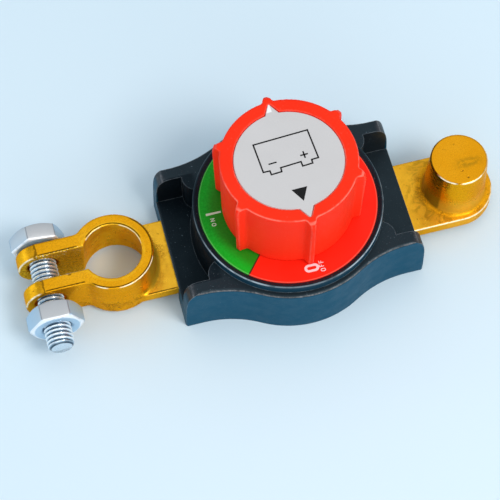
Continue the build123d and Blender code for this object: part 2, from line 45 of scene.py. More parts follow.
# ------------------------------------------------------------------ camera ----
def make_camera():
    k = 0.001017
    yaw, pitch, roll = math.radians(14.03), math.radians(64.11), math.radians(-0.79)
    cy, sy, cp, sp = math.cos(yaw), math.sin(yaw), math.cos(pitch), math.sin(pitch)
    fwd = Vector((sy * cp, cy * cp, -sp))
    right = Vector((cy, -sy, 0.0))
    up = right.cross(fwd)
    cr, sr = math.cos(roll), math.sin(roll)
    r = cr * right + sr * up
    u = -sr * right + cr * up
    cam = bpy.data.cameras.new("camera")
    cam.lens = 1705.21 / 500 * 36
    cam.sensor_width = 36
    cam.sensor_fit = "HORIZONTAL"
    cam.clip_start, cam.clip_end = 0.01, 20
    cam.shift_x, cam.shift_y = 0.35 / 500, -0.5 / 500
    ob = bpy.data.objects.new("camera", cam)
    m = Matrix.Identity(4)
    for i in range(3):
        m[i][0], m[i][1], m[i][2] = r[i], u[i], -fwd[i]
        m[i][3] = (-63.51 * k, -209.67 * k, 442.18 * k)[i]
    ob.matrix_world = m
    scene.collection.objects.link(ob)
    scene.camera = ob


make_camera()


# --------------------------------------------------------------- materials ----
class Mat:
    """Small helper for a node material on object coordinates (metres)."""

    def __init__(self, name, rough=0.5, metallic=0.0, color=(0.5, 0.5, 0.5), spec=0.5, coat=0.0, coat_rough=0.1, ior=1.5):
        self.m = bpy.data.materials.new(name)
        self.m.use_nodes = True
        self.nt = self.m.node_tree
        self.nt.nodes.clear()
        self.out = self.nt.nodes.new("ShaderNodeOutputMaterial")
        self.b = self.nt.nodes.new("ShaderNodeBsdfPrincipled")
        self.nt.links.new(self.b.outputs[0], self.out.inputs[0])
        self.b.inputs["Base Color"].default_value = (*color, 1)
        self.b.inputs["Roughness"].default_value = rough
        self.b.inputs["Metallic"].default_value = metallic
        self.b.inputs["Specular IOR Level"].default_value = spec
        self.b.inputs["IOR"].default_value = ior
        self.b.inputs["Coat Weight"].default_value = coat
        self.b.inputs["Coat Roughness"].default_value = coat_rough
        self.co = self.nt.nodes.new("ShaderNodeTexCoord").outputs["Object"]

    def link(self, a, b):
        self.nt.links.new(a, b)

    def node(self, kind, **kw):
        n = self.nt.nodes.new(kind)
        for k, v in kw.items():
            setattr(n, k, v)
        return n

    def noise(self, scale, detail=4.0, rough=0.5, distort=0.0, co=None):
        n = self.node("ShaderNodeTexNoise")
        n.inputs["Scale"].default_value = scale
        n.inputs["Detail"].default_value = detail
        n.inputs["Roughness"].default_value = rough
        n.inputs["Distortion"].default_value = distort
        self.link(co or self.co, n.inputs["Vector"])
        return n.outputs["Fac"]

    def voronoi(self, scale, feature="F1", co=None):
        n = self.node("ShaderNodeTexVoronoi", feature=feature)
        n.inputs["Scale"].default_value = scale
        self.link(co or self.co, n.inputs["Vector"])
        return n.outputs["Distance"]

    def map(self, v, lo, hi, a=0.0, b=1.0, smooth=True):
        n = self.node("ShaderNodeMapRange", interpolation_type="SMOOTHSTEP" if smooth else "LINEAR")
        n.inputs["From Min"].default_value = lo
        n.inputs["From Max"].default_value = hi
        n.inputs["To Min"].default_value = a
        n.inputs["To Max"].default_value = b
        self.link(v, n.inputs["Value"])
        return n.outputs["Result"]

    def math(self, op, a, b=None):
        n = self.node("ShaderNodeMath", operation=op)
        for i, v in enumerate((a, b)):
            if v is None:
                continue
            if isinstance(v, (int, float)):
                n.inputs[i].default_value = v
            else:
                self.link(v, n.inputs[i])
        return n.outputs[0]

    def mix(self, fac, a, b, blend="MIX"):
        n = self.node("ShaderNodeMix", data_type="RGBA", blend_type=blend)
        for s, v in ((n.inputs[0], fac), (n.inputs[6], a), (n.inputs[7], b)):
            if isinstance(v, (int, float)):
                s.default_value = v
            elif isinstance(v, tuple):
                s.default_value = (*v, 1)
            else:
                self.link(v, s)
        return n.outputs[2]

    def ramp(self, v, stops):
        n = self.node("ShaderNodeValToRGB")
        r = n.color_ramp
        while len(r.elements) < len(stops):
            r.elements.new(0.5)
        for e, (p, c) in zip(r.elements, stops):
            e.position = p
            e.color = (*c, 1)
        self.link(v, n.inputs[0])
        return n.outputs[0]

    def bump(self, h, strength, dist, prev=None):
        n = self.node("ShaderNodeBump")
        n.inputs["Strength"].default_value = strength
        n.inputs["Distance"].default_value = dist
        self.link(h, n.inputs["Height"])
        if prev:
            self.link(prev, n.inputs["Normal"])
        return n.outputs[0]

    def edges(self, radius):
        """1 on convex and concave edges, 0 on flats: how far a rounded normal turns from the real one."""
        bv = self.node("ShaderNodeBevel", samples=6)
        bv.inputs["Radius"].default_value = radius
        g = self.node("ShaderNodeNewGeometry")
        d = self.node("ShaderNodeVectorMath", operation="DOT_PRODUCT")
        self.link(bv.outputs[0], d.inputs[0])
        self.link(g.outputs["Normal"], d.inputs[1])
        return self.map(d.outputs["Value"], 0.995, 0.80, 0, 1)

    def eased(self, radius):
        """Normal as if every edge had a small round."""
        bv = self.node("ShaderNodeBevel", samples=6)
        bv.inputs["Radius"].default_value = radius
        return bv.outputs[0]

    def xyz(self):
        n = self.node("ShaderNodeSeparateXYZ")
        self.link(self.co, n.inputs[0])
        return n.outputs

    def facing(self):
        """x, y, z of the surface normal."""
        g = self.node("ShaderNodeNewGeometry")
        n = self.node("ShaderNodeSeparateXYZ")
        self.link(g.outputs["Normal"], n.inputs[0])
        return n.outputs

    def times(self, *vs):
        out = vs[0]
        for v in vs[1:]:
            out = self.math("MULTIPLY", out, v)
        return out

    def most(self, *vs):
        out = vs[0]
        for v in vs[1:]:
            out = self.math("MAXIMUM", out, v)
        return out

    def arc(self, turn, lo, hi, soft=5.0):
        """1 between two directions in degrees, falling to 0 over soft degrees."""
        up = self.map(turn, math.radians(lo - soft), math.radians(lo))
        return self.times(up, self.map(turn, math.radians(hi + soft), math.radians(hi)))

    def near(self, v, value, full, zero):
        """1 while v is within full of value, falling to 0 at zero."""
        return self.map(self.math("ABSOLUTE", self.math("SUBTRACT", v, value)), zero, full, 0, 1)

    def radius(self, x, y, cx):
        """Distance from the upright line through (cx, 0)."""
        dx = self.math("SUBTRACT", x, cx)
        return self.math("SQRT", self.math("ADD", self.math("MULTIPLY", dx, dx), self.math("MULTIPLY", y, y)))

    def set(self, socket, v):
        self.link(v, self.b.inputs[socket])


def brass_material():
    """As-cast brass: fine grain all over, coarse dark grain on the sawn ear faces and round the feet of ring and post."""
    m = Mat("cast_brass", rough=0.34, metallic=0.85, spec=0.3)
    m.b.inputs["Specular Tint"].default_value = (1.0, 0.62, 0.14, 1)
    x, y, z = m.xyz()
    nx, ny, nz = m.facing()
    broad = m.noise(95, 3, 0.55)
    base = m.ramp(broad, [(0.30, (0.86, 0.37, 0.005)), (0.55, (0.94, 0.43, 0.010)), (0.75, (0.98, 0.48, 0.018))])
    base = m.mix(m.map(m.noise(2300, 3, 0.7), 0.60, 0.36, 0, 0.40), base, (0.55, 0.21, 0.004))
    # coarse grain zones
    ear = m.math("MULTIPLY", m.near(m.math("ABSOLUTE", y), 0.0036, 0.00018, 0.0004), m.map(x, -0.0582, -0.0592))
    low = m.map(z, 0.0076, 0.0070)
    ring_r = m.radius(x, y, -0.05126)
    post_r = m.radius(x, y, 0.05065)
    foot_a = m.math("MULTIPLY", m.map(ring_r, 0.0165, 0.0128), low)
    foot_b = m.math("MULTIPLY", m.map(post_r, 0.0140, 0.0100), low)
    foot = m.math("MAXIMUM", foot_a, foot_b)
    zone = m.math("MAXIMUM", ear, m.math("MULTIPLY", foot, m.map(m.noise(210, 2, 0.5), 0.40, 0.60)))
    coarse = m.map(m.noise(1700, 4, 0.75), 0.56, 0.44)
    # painted light: the ear faces across the slot made brighter and yellower
    base = m.mix(ear, base, (1.0, 0.60, 0.04))
    base = m.mix(m.math("MULTIPLY", m.math("MULTIPLY", zone, coarse), m.map(ear, 0, 1, 0.62, 0.46)), base, (0.26, 0.10, 0.004))
    # painted highlight: pale gold sparkles on the upper ear faces
    painted_glint = m.math("MULTIPLY", m.math("MULTIPLY", ear, m.map(m.noise(1500, 2, 0.6), 0.60, 0.68)), m.map(z, 0.0125, 0.0165))
    # bore of the ring, brighter and streaked; painted shade on the ring's side towards the housing
    bore = m.math("MULTIPLY", m.map(ring_r, 0.00945, 0.00925), m.map(z, 0.0173, 0.0169))
    base = m.mix(m.math("MULTIPLY", bore, m.map(m.noise(260, 3, 0.6), 0.35, 0.62, 0.35, 1.0)), base, (1.0, 0.58, 0.03))
    # painted shade: the ring's side towards the housing made dark brown
    shade = m.math("MULTIPLY", m.math("MULTIPLY", m.map(ring_r, 0.0108, 0.0112), m.map(ring_r, 0.0136, 0.0126)),
                   m.math("MULTIPLY", m.map(x, -0.0450, -0.0415), m.map(z, 0.0169, 0.0165)))
    base = m.mix(m.math("MULTIPLY", shade, 0.85), base, (0.26, 0.18, 0.012))
    # painted shade: the lower side of the post toned darker and duller
    low_post = m.times(m.map(post_r, 0.0108, 0.0102), m.map(z, 0.0068, 0.0076), m.map(z, 0.0150, 0.0085))
    base = m.mix(m.math("MULTIPLY", low_post, 0.55), base, (0.62, 0.42, 0.040))
    base = m.mix(m.times(m.map(post_r, 0.0084, 0.0082), m.map(z, 0.0229, 0.02305), 0.55), base, (0.82, 0.31, 0.006))
    base = m.mix(m.times(m.map(x, 0.0330, 0.0350), m.map(post_r, 0.0100, 0.0120), 0.55), base, (1.0, 0.52, 0.040))
    base = m.mix(m.times(m.map(x, -0.0500, -0.0440), m.map(x, 0.0, -0.001), m.map(ring_r, 0.0125, 0.0140), 0.60), base, (1.0, 0.56, 0.045))
    # painted dark reflection: an upright dark band on the post's left side, with a sharp right edge
    way = m.math("ARCTAN2", m.math("MULTIPLY", y, -1.0), m.math("SUBTRACT", 0.05065, x))
    band = m.math("MULTIPLY", m.map(way, math.radians(44), math.radians(39)), m.map(way, math.radians(-22), math.radians(14)))
    band = m.math("MULTIPLY", band, m.math("MULTIPLY", m.map(post_r, 0.0104, 0.0099), m.math("MULTIPLY", m.map(z, 0.0068, 0.0076), m.map(z, 0.0229, 0.0226))))
    base = m.mix(m.math("MULTIPLY", band, 0.78), base, (0.17, 0.125, 0.006))
    # painted reflection: the post's left-back side toned a duller gold beside the dark band
    flank = m.times(m.map(way, math.radians(4), math.radians(-14)), m.map(way, math.radians(-80), math.radians(-60)), m.map(post_r, 0.0104, 0.0099), m.map(z, 0.0068, 0.0076), m.map(z, 0.0228, 0.0225))
    base = m.mix(m.math("MULTIPLY", flank, 0.5), base, (0.56, 0.40, 0.04))
    rub = m.times(m.map(x, 0.0345, 0.0360), m.map(z, 0.0062, 0.0065), m.map(post_r, 0.0098, 0.0108), m.map(post_r, 0.0162, 0.0128), m.map(m.noise(240, 4, 0.65, 1.5), 0.46, 0.62))
    base = m.mix(m.math("MULTIPLY", rub, 0.6), base, (0.40, 0.20, 0.008))
    # soft dark smear on the post's top, drawn out along one line
    smear = m.math("MULTIPLY", m.near(x, 0.0528, 0.0012, 0.0056), m.near(y, -0.0016, 0.0004, 0.0024))
    smear = m.math("MULTIPLY", m.math("MULTIPLY", smear, m.map(z, 0.0228, 0.0230)), m.map(m.noise(900, 3, 0.6), 0.40, 0.60, 0.15, 1.0))
    base = m.mix(m.math("MULTIPLY", smear, 0.62), base, (0.36, 0.19, 0.008))
    # painted dark reflection line across the top of each ear where its round nose begins
    wob = m.math("MULTIPLY", m.math("SUBTRACT", m.noise(330, 3, 0.6), 0.5), 0.0026)
    painted_nose_line = m.math("MULTIPLY", m.near(m.math("ADD", x, wob), -0.0724, 0.00014, 0.00050), m.map(z, 0.0160, 0.0165))
    base = m.mix(m.math("MULTIPLY", painted_nose_line, 0.80), base, (0.16, 0.075, 0.004))
    # painted darker reflection on the round noses just past that line
    base = m.mix(m.times(m.map(x, -0.0722, -0.0728), m.map(x, -0.0760, -0.0738), m.map(m.noise(500, 3, 0.6), 0.36, 0.60), 0.5), base, (0.42, 0.20, 0.008))
    # dark casting specks and pits
    pits = m.map(m.noise(900, 2, 0.5), 0.35, 0.27)
    area = m.map(m.noise(160, 2, 0.5), 0.50, 0.66)
    speck = m.math("MULTIPLY", pits, area)
    col = m.mix(m.math("MULTIPLY", speck, 0.75), base, (0.20, 0.08, 0.008))
    # painted dark reflection lines just inside the flat tops' edges, painted highlights as thin bright lines on the
    # edges themselves
    soft = m.eased(0.00042)
    mm = 0.001
    edge_wear_and_highlight_breakup = m.map(m.noise(700, 3, 0.6), 0.32, 0.50, 0.40, 1.0)
    at_ring = m.math("ARCTAN2", y, m.math("SUBTRACT", x, -0.05126))
    at_post = m.math("ARCTAN2", y, m.math("SUBTRACT", x, 0.05065))
    ear_x = m.times(m.map(x, -0.0604, -0.0610), m.map(x, -0.0722, -0.0716))
    flat = m.times(m.map(nz, 0.88, 0.96), m.map(z, 0.0166, 0.0169), m.map(x, 0.0, -0.001))
    dark = m.times(m.near(ring_r, 11.27 * mm, 0.10 * mm, 0.28 * mm), m.arc(at_ring, -128, 48, 8))
    dark = m.most(dark, m.times(m.near(ring_r, 8.80 * mm, 0.09 * mm, 0.27 * mm), m.arc(at_ring, 18, 132, 8)))
    dark = m.most(dark, m.times(m.near(y, -7.40 * mm, 0.11 * mm, 0.30 * mm), ear_x), m.times(m.near(y, 4.00 * mm, 0.11 * mm, 0.30 * mm), ear_x))
    dark = m.times(dark, flat)
    strip = m.times(m.near(y, -10.86 * mm, 0.08 * mm, 0.26 * mm), m.map(x, -0.0445, -0.0435), m.map(x, -0.0350, -0.0356), m.map(z, 0.0045, 0.0052))
    dark = m.most(dark, strip)
    dark = m.most(dark, m.times(m.near(post_r, 8.02 * mm, 0.10 * mm, 0.30 * mm), m.map(z, 0.0226, 0.0228), m.map(x, 0.0500, 0.0462)))
    col = m.mix(m.times(dark, m.map(edge_wear_and_highlight_breakup, 0, 1, 0.45, 1.0, smooth=False), 0.92), col, (0.050, 0.024, 0.002))
    # painted highlights: thin pale gold lines on chosen edges of ring, bore lip, post top, strip and ear noses
    rim = m.times(m.near(ring_r, 11.68 * mm, 0.12 * mm, 0.28 * mm), m.near(z, 16.96 * mm, 0.09 * mm, 0.25 * mm))
    lit = m.times(rim, m.most(m.arc(at_ring, -88, -26, 6), m.arc(at_ring, -122, -112, 6)))
    lip = m.times(m.near(ring_r, 8.40 * mm, 0.09 * mm, 0.22 * mm), m.near(z, 16.86 * mm, 0.09 * mm, 0.25 * mm))
    lit = m.most(lit, m.times(lip, m.most(m.arc(at_ring, 104, 138, 6), m.arc(at_ring, 6, 62, 6))))
    top = m.times(m.near(post_r, 8.12 * mm, 0.14 * mm, 0.30 * mm), m.near(z, 22.92 * mm, 0.10 * mm, 0.26 * mm))
    lit = m.most(lit, m.times(top, m.most(m.arc(at_post, -150, -118, 10), m.arc(at_post, -96, -58, 10), m.times(m.arc(at_post, -50, 12, 8), 0.45))))
    edge = m.times(m.near(z, 6.44 * mm, 0.10 * mm, 0.28 * mm), m.map(x, 0.0345, 0.0350))
    lit = m.most(lit, m.times(edge, m.map(y, -0.0108, -0.01105)), m.times(edge, m.map(post_r, 0.0108, 0.0110), m.arc(at_post, -89, -20, 10), 0.8))
    nose_x, nose_z = m.math("ADD", x, 70.85 * mm), m.math("SUBTRACT", z, 9.54 * mm)
    nose_r = m.math("SQRT", m.math("ADD", m.times(nose_x, nose_x), m.times(nose_z, nose_z)))
    nose = m.times(m.near(nose_r, 7.38 * mm, 0.16 * mm, 0.34 * mm), m.arc(m.math("ARCTAN2", nose_z, m.math("MULTIPLY", nose_x, -1.0)), 10, 62, 12))
    lit = m.most(lit, m.times(nose, m.most(m.near(y, 3.66 * mm, 0.12 * mm, 0.30 * mm), m.near(y, -7.74 * mm, 0.12 * mm, 0.30 * mm))))
    lit = m.most(m.times(lit, edge_wear_and_highlight_breakup), m.times(painted_glint, 0.8))
    col = m.mix(lit, col, (1.0, 0.90, 0.64))
    m.set("Base Color", col)
    # metal and gloss lowered in the painted-shade zones and under the painted highlights
    painted_shade_dull = m.most(m.math("MULTIPLY", shade, 0.62), m.math("MULTIPLY", low_post, 0.50), m.math("MULTIPLY", foot_b, 0.35))
    m.set("Metallic", m.math("SUBTRACT", m.map(lit, 0.0, 1.0, 0.85, 0.10, smooth=False), m.times(painted_shade_dull, m.map(lit, 0.0, 1.0, 1.0, 0.0, smooth=False))))
    smooth_post = m.math("MULTIPLY", m.map(post_r, 0.0104, 0.0099), m.map(z, 0.0068, 0.0080))
    rough = m.map(m.noise(420, 4, 0.6), 0.3, 0.7, 0.26, 0.42)
    m.set("Roughness", m.math("ADD", m.math("MULTIPLY", rough, m.map(smooth_post, 0, 1, 1.0, 0.68)), m.math("MULTIPLY", painted_shade_dull, 0.30)))
    n1 = m.bump(m.noise(2300, 3, 0.65), 0.30, 0.00010, soft)
    n2 = m.bump(m.noise(330, 3, 0.5), 0.30, 0.0003, n1)
    n3 = m.bump(m.math("MULTIPLY", zone, coarse), 0.45, 0.00016, n2)
    m.set("Normal", m.bump(m.math("SUBTRACT", 1.0, speck), 0.5, 0.0002, n3))
    return m.m


def housing_material():
    """Blue-black moulding, rubbed light along its edges and on the rolled block ends, with painted sheen on those
    rolled ends and the rounded top edge, and a painted blue reflection on its upright sides.
    """
    m = Mat("housing_plastic", rough=0.42, color=(0.02, 0.024, 0.03), spec=0.34)
    x, y, z = m.xyz()
    nx, ny, nz = m.facing()
    ax, ay = m.math("ABSOLUTE", x), m.math("ABSOLUTE", y)
    rad = m.radius(x, y, 0.0)
    big = m.noise(70, 3, 0.5)
    col = m.mix(big, (0.006, 0.009, 0.012), (0.012, 0.016, 0.020))
    # painted reflection: the upright outer sides tinted blue, in base colour and in specular tint
    side = m.map(m.math("ABSOLUTE", nz), 0.50, 0.20)
    channel = m.math("MULTIPLY", m.map(ay, 0.0173, 0.0170), m.map(ax, 0.0347, 0.0344))
    outer = m.math("MULTIPLY", side, m.map(z, 0.0199, 0.0193, 0.42, 1.0))
    outer = m.math("MULTIPLY", outer, m.math("SUBTRACT", 1.0, m.math("MULTIPLY", channel, m.map(z, 0.0197, 0.0193))))
    col = m.mix(outer, col, m.mix(big, (0.002, 0.058, 0.108), (0.003, 0.066, 0.122)))
    # left channel lies in the knob's shade
    left = m.math("MULTIPLY", channel, m.map(x, -0.0225, -0.0245))
    col = m.mix(m.math("MULTIPLY", left, 0.75), col, (0.0015, 0.004, 0.007))
    m.set("Specular Tint", m.mix(outer, (0.50, 0.78, 0.92), (0.04, 0.72, 1.0)))
    m.set("Specular IOR Level", m.math("SUBTRACT", m.map(outer, 0, 1, 0.34, 0.12, smooth=False), m.math("MULTIPLY", left, 0.16)))
    patch = m.map(m.noise(420, 4, 0.65), 0.34, 0.60, 0.30, 1.0)
    fine = m.map(m.noise(1500, 3, 0.7), 0.38, 0.60, 0.45, 1.0)
    # rubbed light line along the rounded top edge, partly wear and partly painted highlight
    line = m.math("MULTIPLY", m.near(nz, 0.64, 0.12, 0.27), m.map(z, 0.0184, 0.0187))
    line = m.math("MULTIPLY", m.math("MULTIPLY", line, m.map(z, 0.0197, 0.01952)), fine)
    col = m.mix(m.math("MULTIPLY", m.math("MULTIPLY", line, patch), 0.85), col, (0.20, 0.19, 0.19))
    # dull brownish rub on the rolled ends of the blocks, partly wear and partly painted sheen
    ends = m.math("MULTIPLY", m.map(ax, 0.0305, 0.0330), m.math("MULTIPLY", m.near(nz, 0.70, 0.14, 0.42), m.map(z, 0.0125, 0.0160)))
    col = m.mix(m.math("MULTIPLY", m.math("MULTIPLY", m.math("MULTIPLY", ends, patch), fine), 0.6), col, (0.085, 0.070, 0.070))
    rim = m.math("MULTIPLY", m.map(z, 0.0218, 0.0220), m.map(rad, 0.0274, 0.0272))
    e = m.edges(0.0004)
    edge_wear_and_highlight_breakup = m.math("MULTIPLY", m.math("MULTIPLY", e, patch), m.math("SUBTRACT", 1.0, m.math("MULTIPLY", rim, 0.92)))
    col = m.mix(m.math("MULTIPLY", edge_wear_and_highlight_breakup, 0.70), col, (0.20, 0.23, 0.25))
    # rim top set to a deep blue-black; painted highlight as a thin light line on the rim's outer edge, strongest at the
    # front left and front right
    col = m.mix(m.math("MULTIPLY", rim, 0.7), col, (0.004, 0.014, 0.021))
    turn = m.math("ARCTAN2", y, x)
    weight = m.math("MAXIMUM", m.near(turn, math.radians(-50), math.radians(16), math.radians(34)),
                    m.near(turn, math.radians(-140), math.radians(16), math.radians(34)))
    weight = m.math("MAXIMUM", weight, m.map(y, 0.006, -0.004, 0.04, 0.42))
    crest = m.math("MULTIPLY", m.near(rad, 0.02693, 0.00009, 0.00019), m.map(z, 0.0219, 0.0221))
    crest = m.math("MULTIPLY", m.math("MULTIPLY", crest, weight), m.map(m.noise(330, 3, 0.6), 0.34, 0.56, 0.45, 1.0))
    col = m.mix(crest, col, (0.34, 0.40, 0.44))
    dust = m.map(m.noise(2600, 2, 0.5), 0.66, 0.74)
    col = m.mix(m.times(dust, m.map(nz, 0.3, 0.8, 0.14, 0.30)), col, (0.20, 0.22, 0.24))
    lint = m.math("MULTIPLY", m.map(m.noise(1300, 2, 0.5), 0.70, 0.74), m.map(m.noise(120, 2, 0.5), 0.46, 0.60))
    col = m.mix(m.math("MULTIPLY", lint, 0.30), col, (0.26, 0.36, 0.42))
    m.set("Base Color", col)
    m.set("Roughness", m.map(m.noise(260, 4, 0.6), 0.3, 0.7, 0.36, 0.50))
    n1 = m.bump(m.noise(2600, 2, 0.5), 0.22, 0.00008)
    m.set("Normal", m.bump(m.noise(220, 3, 0.5), 0.07, 0.0004, n1))
    return m.m


def knob_material():
    m = Mat("knob_red", rough=0.45, color=(0.9, 0.03, 0.01), spec=0.05)
    m.b.inputs["Subsurface Weight"].default_value = 0.06
    m.b.inputs["Subsurface Radius"].default_value = (0.003, 0.0006, 0.0004)
    m.b.inputs["Subsurface Scale"].default_value = 1.0
    big = m.noise(60, 3, 0.5)
    col = m.mix(big, (0.96, 0.026, 0.007), (1.0, 0.036, 0.011))
    # painted highlight: light pink lines on every edge
    e = m.edges(0.0004)
    col = m.mix(m.math("MULTIPLY", e, 0.25), col, (1.0, 0.26, 0.17))
    x, y, z = m.xyz()
    nx, ny, nz = m.facing()
    rad = m.radius(x, y, 0.0)
    part = m.math("ADD", m.math("DIVIDE", m.math("SUBTRACT", m.math("ARCTAN2", y, x), math.radians(-87)), math.radians(60)), 6.5)
    off = m.math("MULTIPLY", m.math("ABSOLUTE", m.math("SUBTRACT", m.math("FRACT", part), 0.5)), 60.0)      # degrees from a rib's middle
    # painted highlights: light pink on the rib tips and the rounded top edge, stronger towards the front
    tips = m.times(m.near(off, 1.45, 0.25, 0.75), m.map(rad, 0.0203, 0.0206))
    roof = m.times(m.near(nz, 0.62, 0.16, 0.36), m.map(z, 0.0459, 0.0462))
    ridge = m.times(m.most(m.math("MULTIPLY", tips, 0.32), roof), m.map(m.noise(420, 3, 0.6), 0.34, 0.58, 0.30, 1.0))
    col = m.mix(m.times(ridge, m.map(y, 0.004, -0.004, 0.10, 0.32)), col, (1.0, 0.44, 0.34))
    scuff = m.map(m.noise(1300, 3, 0.6), 0.64, 0.72)
    col = m.mix(m.math("MULTIPLY", scuff, 0.10), col, (1.0, 0.30, 0.22))
    m.set("Base Color", col)
    m.set("Roughness", m.map(m.noise(180, 4, 0.6), 0.3, 0.7, 0.36, 0.50))
    n1 = m.bump(m.noise(1600, 2, 0.5), 0.10, 0.00008, m.eased(0.0004))
    m.set("Normal", m.bump(m.noise(150, 3, 0.5), 0.08, 0.0004, n1))
    return m.m


def disc_material():
    m = Mat("disc_grey", rough=0.45, color=(0.7, 0.71, 0.73), spec=0.5)
    col = m.mix(m.noise(90, 3, 0.5), (0.555, 0.520, 0.505), (0.610, 0.575, 0.560))
    col = m.mix(m.math("MULTIPLY", m.map(m.noise(1100, 3, 0.6), 0.66, 0.74), 0.25), col, (0.45, 0.46, 0.48))
    # painted highlight: near-white lines on the edges
    col = m.mix(m.math("MULTIPLY", m.edges(0.0003), 0.8), col, (0.84, 0.83, 0.82))
    x, y, z = m.xyz()
    # painted highlight: white on the left half of the pointer tip
    along = m.math("SUBTRACT", m.math("MULTIPLY", y, math.cos(OFF_TURN)), m.math("MULTIPLY", x, math.sin(OFF_TURN)))
    across = m.math("ADD", m.math("MULTIPLY", x, math.cos(OFF_TURN)), m.math("MULTIPLY", y, math.sin(OFF_TURN)))
    tip = m.times(m.map(along, 0.0154, 0.0158), m.map(across, 0.0004, 0.0000))
    col = m.mix(m.math("MULTIPLY", tip, 0.8), col, (0.96, 0.96, 0.94))
    m.set("Base Color", col)
    m.set("Roughness", m.map(m.noise(200, 4, 0.6), 0.3, 0.7, 0.36, 0.52))
    m.set("Normal", m.bump(m.noise(1800, 2, 0.5), 0.12, 0.00006))
    return m.m


def dial_material():
    """Red plate with a green sector towards -X and a thin dark line at each of its edges."""
    m = Mat("dial_print", rough=0.45, color=(0.8, 0.02, 0.01), spec=0.10)
    x, y, z = m.xyz()
    ang = m.math("ARCTAN2", m.math("ABSOLUTE", y), m.math("MULTIPLY", x, -1.0))   # 0 at -X
    edge = math.radians(180 - 130.4)
    green = m.map(ang, edge + 0.004, edge - 0.004, 0, 1, smooth=False)
    line = m.map(m.math("ABSOLUTE", m.math("SUBTRACT", ang, edge)), 0.012, 0.007, 0, 1, smooth=False)
    tone = m.noise(120, 3, 0.5)
    red = m.mix(tone, (0.92, 0.014, 0.004), (0.97, 0.022, 0.007))
    grn = m.mix(m.map(m.noise(1500, 3, 0.7), 0.36, 0.64), (0.005, 0.34, 0.010), (0.014, 0.50, 0.022))
    # painted light and shade: the green darker overall and brighter towards the front
    grn = m.mix(m.math("MULTIPLY", m.map(y, -0.004, -0.020), 0.55), m.mix(0.45, grn, (0.006, 0.22, 0.010)), (0.012, 0.52, 0.016))
    # painted shadow of the knob: the green darker and olive near the knob
    grn = m.mix(m.map(m.radius(x, y, 0.0), 0.0240, 0.0208, 0, 0.55), grn, (0.030, 0.13, 0.003))
    col = m.mix(green, red, grn)
    col = m.mix(line, col, (0.05, 0.03, 0.01))
    # painted highlight: a thin light line round the plate's edge
    rim = m.near(m.radius(x, y, 0.0), 0.02518, 0.00006, 0.00022)
    col = m.mix(m.math("MULTIPLY", rim, 0.5), col, m.mix(green, (1.0, 0.16, 0.10), (0.20, 0.62, 0.16)))
    m.set("Base Color", col)
    m.set("Roughness", m.map(m.noise(300, 4, 0.6), 0.3, 0.7, 0.34, 0.50))
    m.set("Normal", m.bump(m.noise(1500, 2, 0.5), 0.10, 0.00006))
    return m.m


def zinc_material():
    """Bright zinc: even flats, a painted blue reflection on the upright ones, painted shade as thin dark corners,
    painted highlights on the front edges.
    """
    m = Mat("bright_zinc", rough=0.4, metallic=0.38, color=(0.78, 0.80, 0.84), spec=0.5)
    x, y, z = m.xyz()
    nx, ny, nz = m.facing()
    col = m.mix(m.noise(120, 2, 0.5), (0.47, 0.475, 0.48), (0.52, 0.52, 0.525))
    # painted reflection: upright faces tinted blue
    col = m.mix(m.map(nz, 0.78, 0.45), col, (0.42, 0.60, 0.76))
    col = m.mix(m.math("MULTIPLY", m.map(m.noise(1500, 3, 0.6), 0.60, 0.74), 0.35), col, (0.33, 0.37, 0.42))
    dx, dz = m.math("ADD", x, 0.0712), m.math("SUBTRACT", z, 0.01024)
    r = m.math("SQRT", m.math("ADD", m.times(dx, dx), m.times(dz, dz)))
    head = m.map(y, -0.001, 0.001)
    zero = m.map(head, 0, 1, math.radians(-3.5), math.radians(47.1), smooth=False)
    part = m.math("ADD", m.math("DIVIDE", m.math("SUBTRACT", m.math("ARCTAN2", dz, dx), zero), math.radians(60)), 6.5)
    off = m.math("MULTIPLY", m.math("ABSOLUTE", m.math("SUBTRACT", m.math("FRACT", part), 0.5)), 60.0)      # degrees from a corner
    # painted shade: thin dark lines along the hex corners
    corner = m.times(m.map(off, 1.5, 0.7), m.map(r, 0.0074, 0.0077))
    # painted highlight: pale edges on the head's bearing side and the nut's outer face
    pale = m.most(m.times(head, m.map(y, 0.00965, 0.00945)), m.map(y, -0.01560, -0.01585))
    pale = m.times(pale, m.map(r, 0.0062, 0.0067), m.map(m.noise(600, 3, 0.6), 0.30, 0.52, 0.5, 1.0))
    col = m.mix(m.times(corner, m.math("SUBTRACT", 1.0, m.times(head, m.map(y, 0.0096, 0.0094))), 0.6), col, (0.13, 0.16, 0.20))
    col = m.mix(m.times(pale, 0.85), col, (0.97, 0.98, 1.0))
    m.set("Base Color", col)
    m.set("Roughness", m.map(m.noise(300, 3, 0.6), 0.3, 0.7, 0.40, 0.48))
    m.set("Normal", m.bump(m.noise(1800, 2, 0.5), 0.06, 0.00005, m.eased(0.00016)))
    return m.m


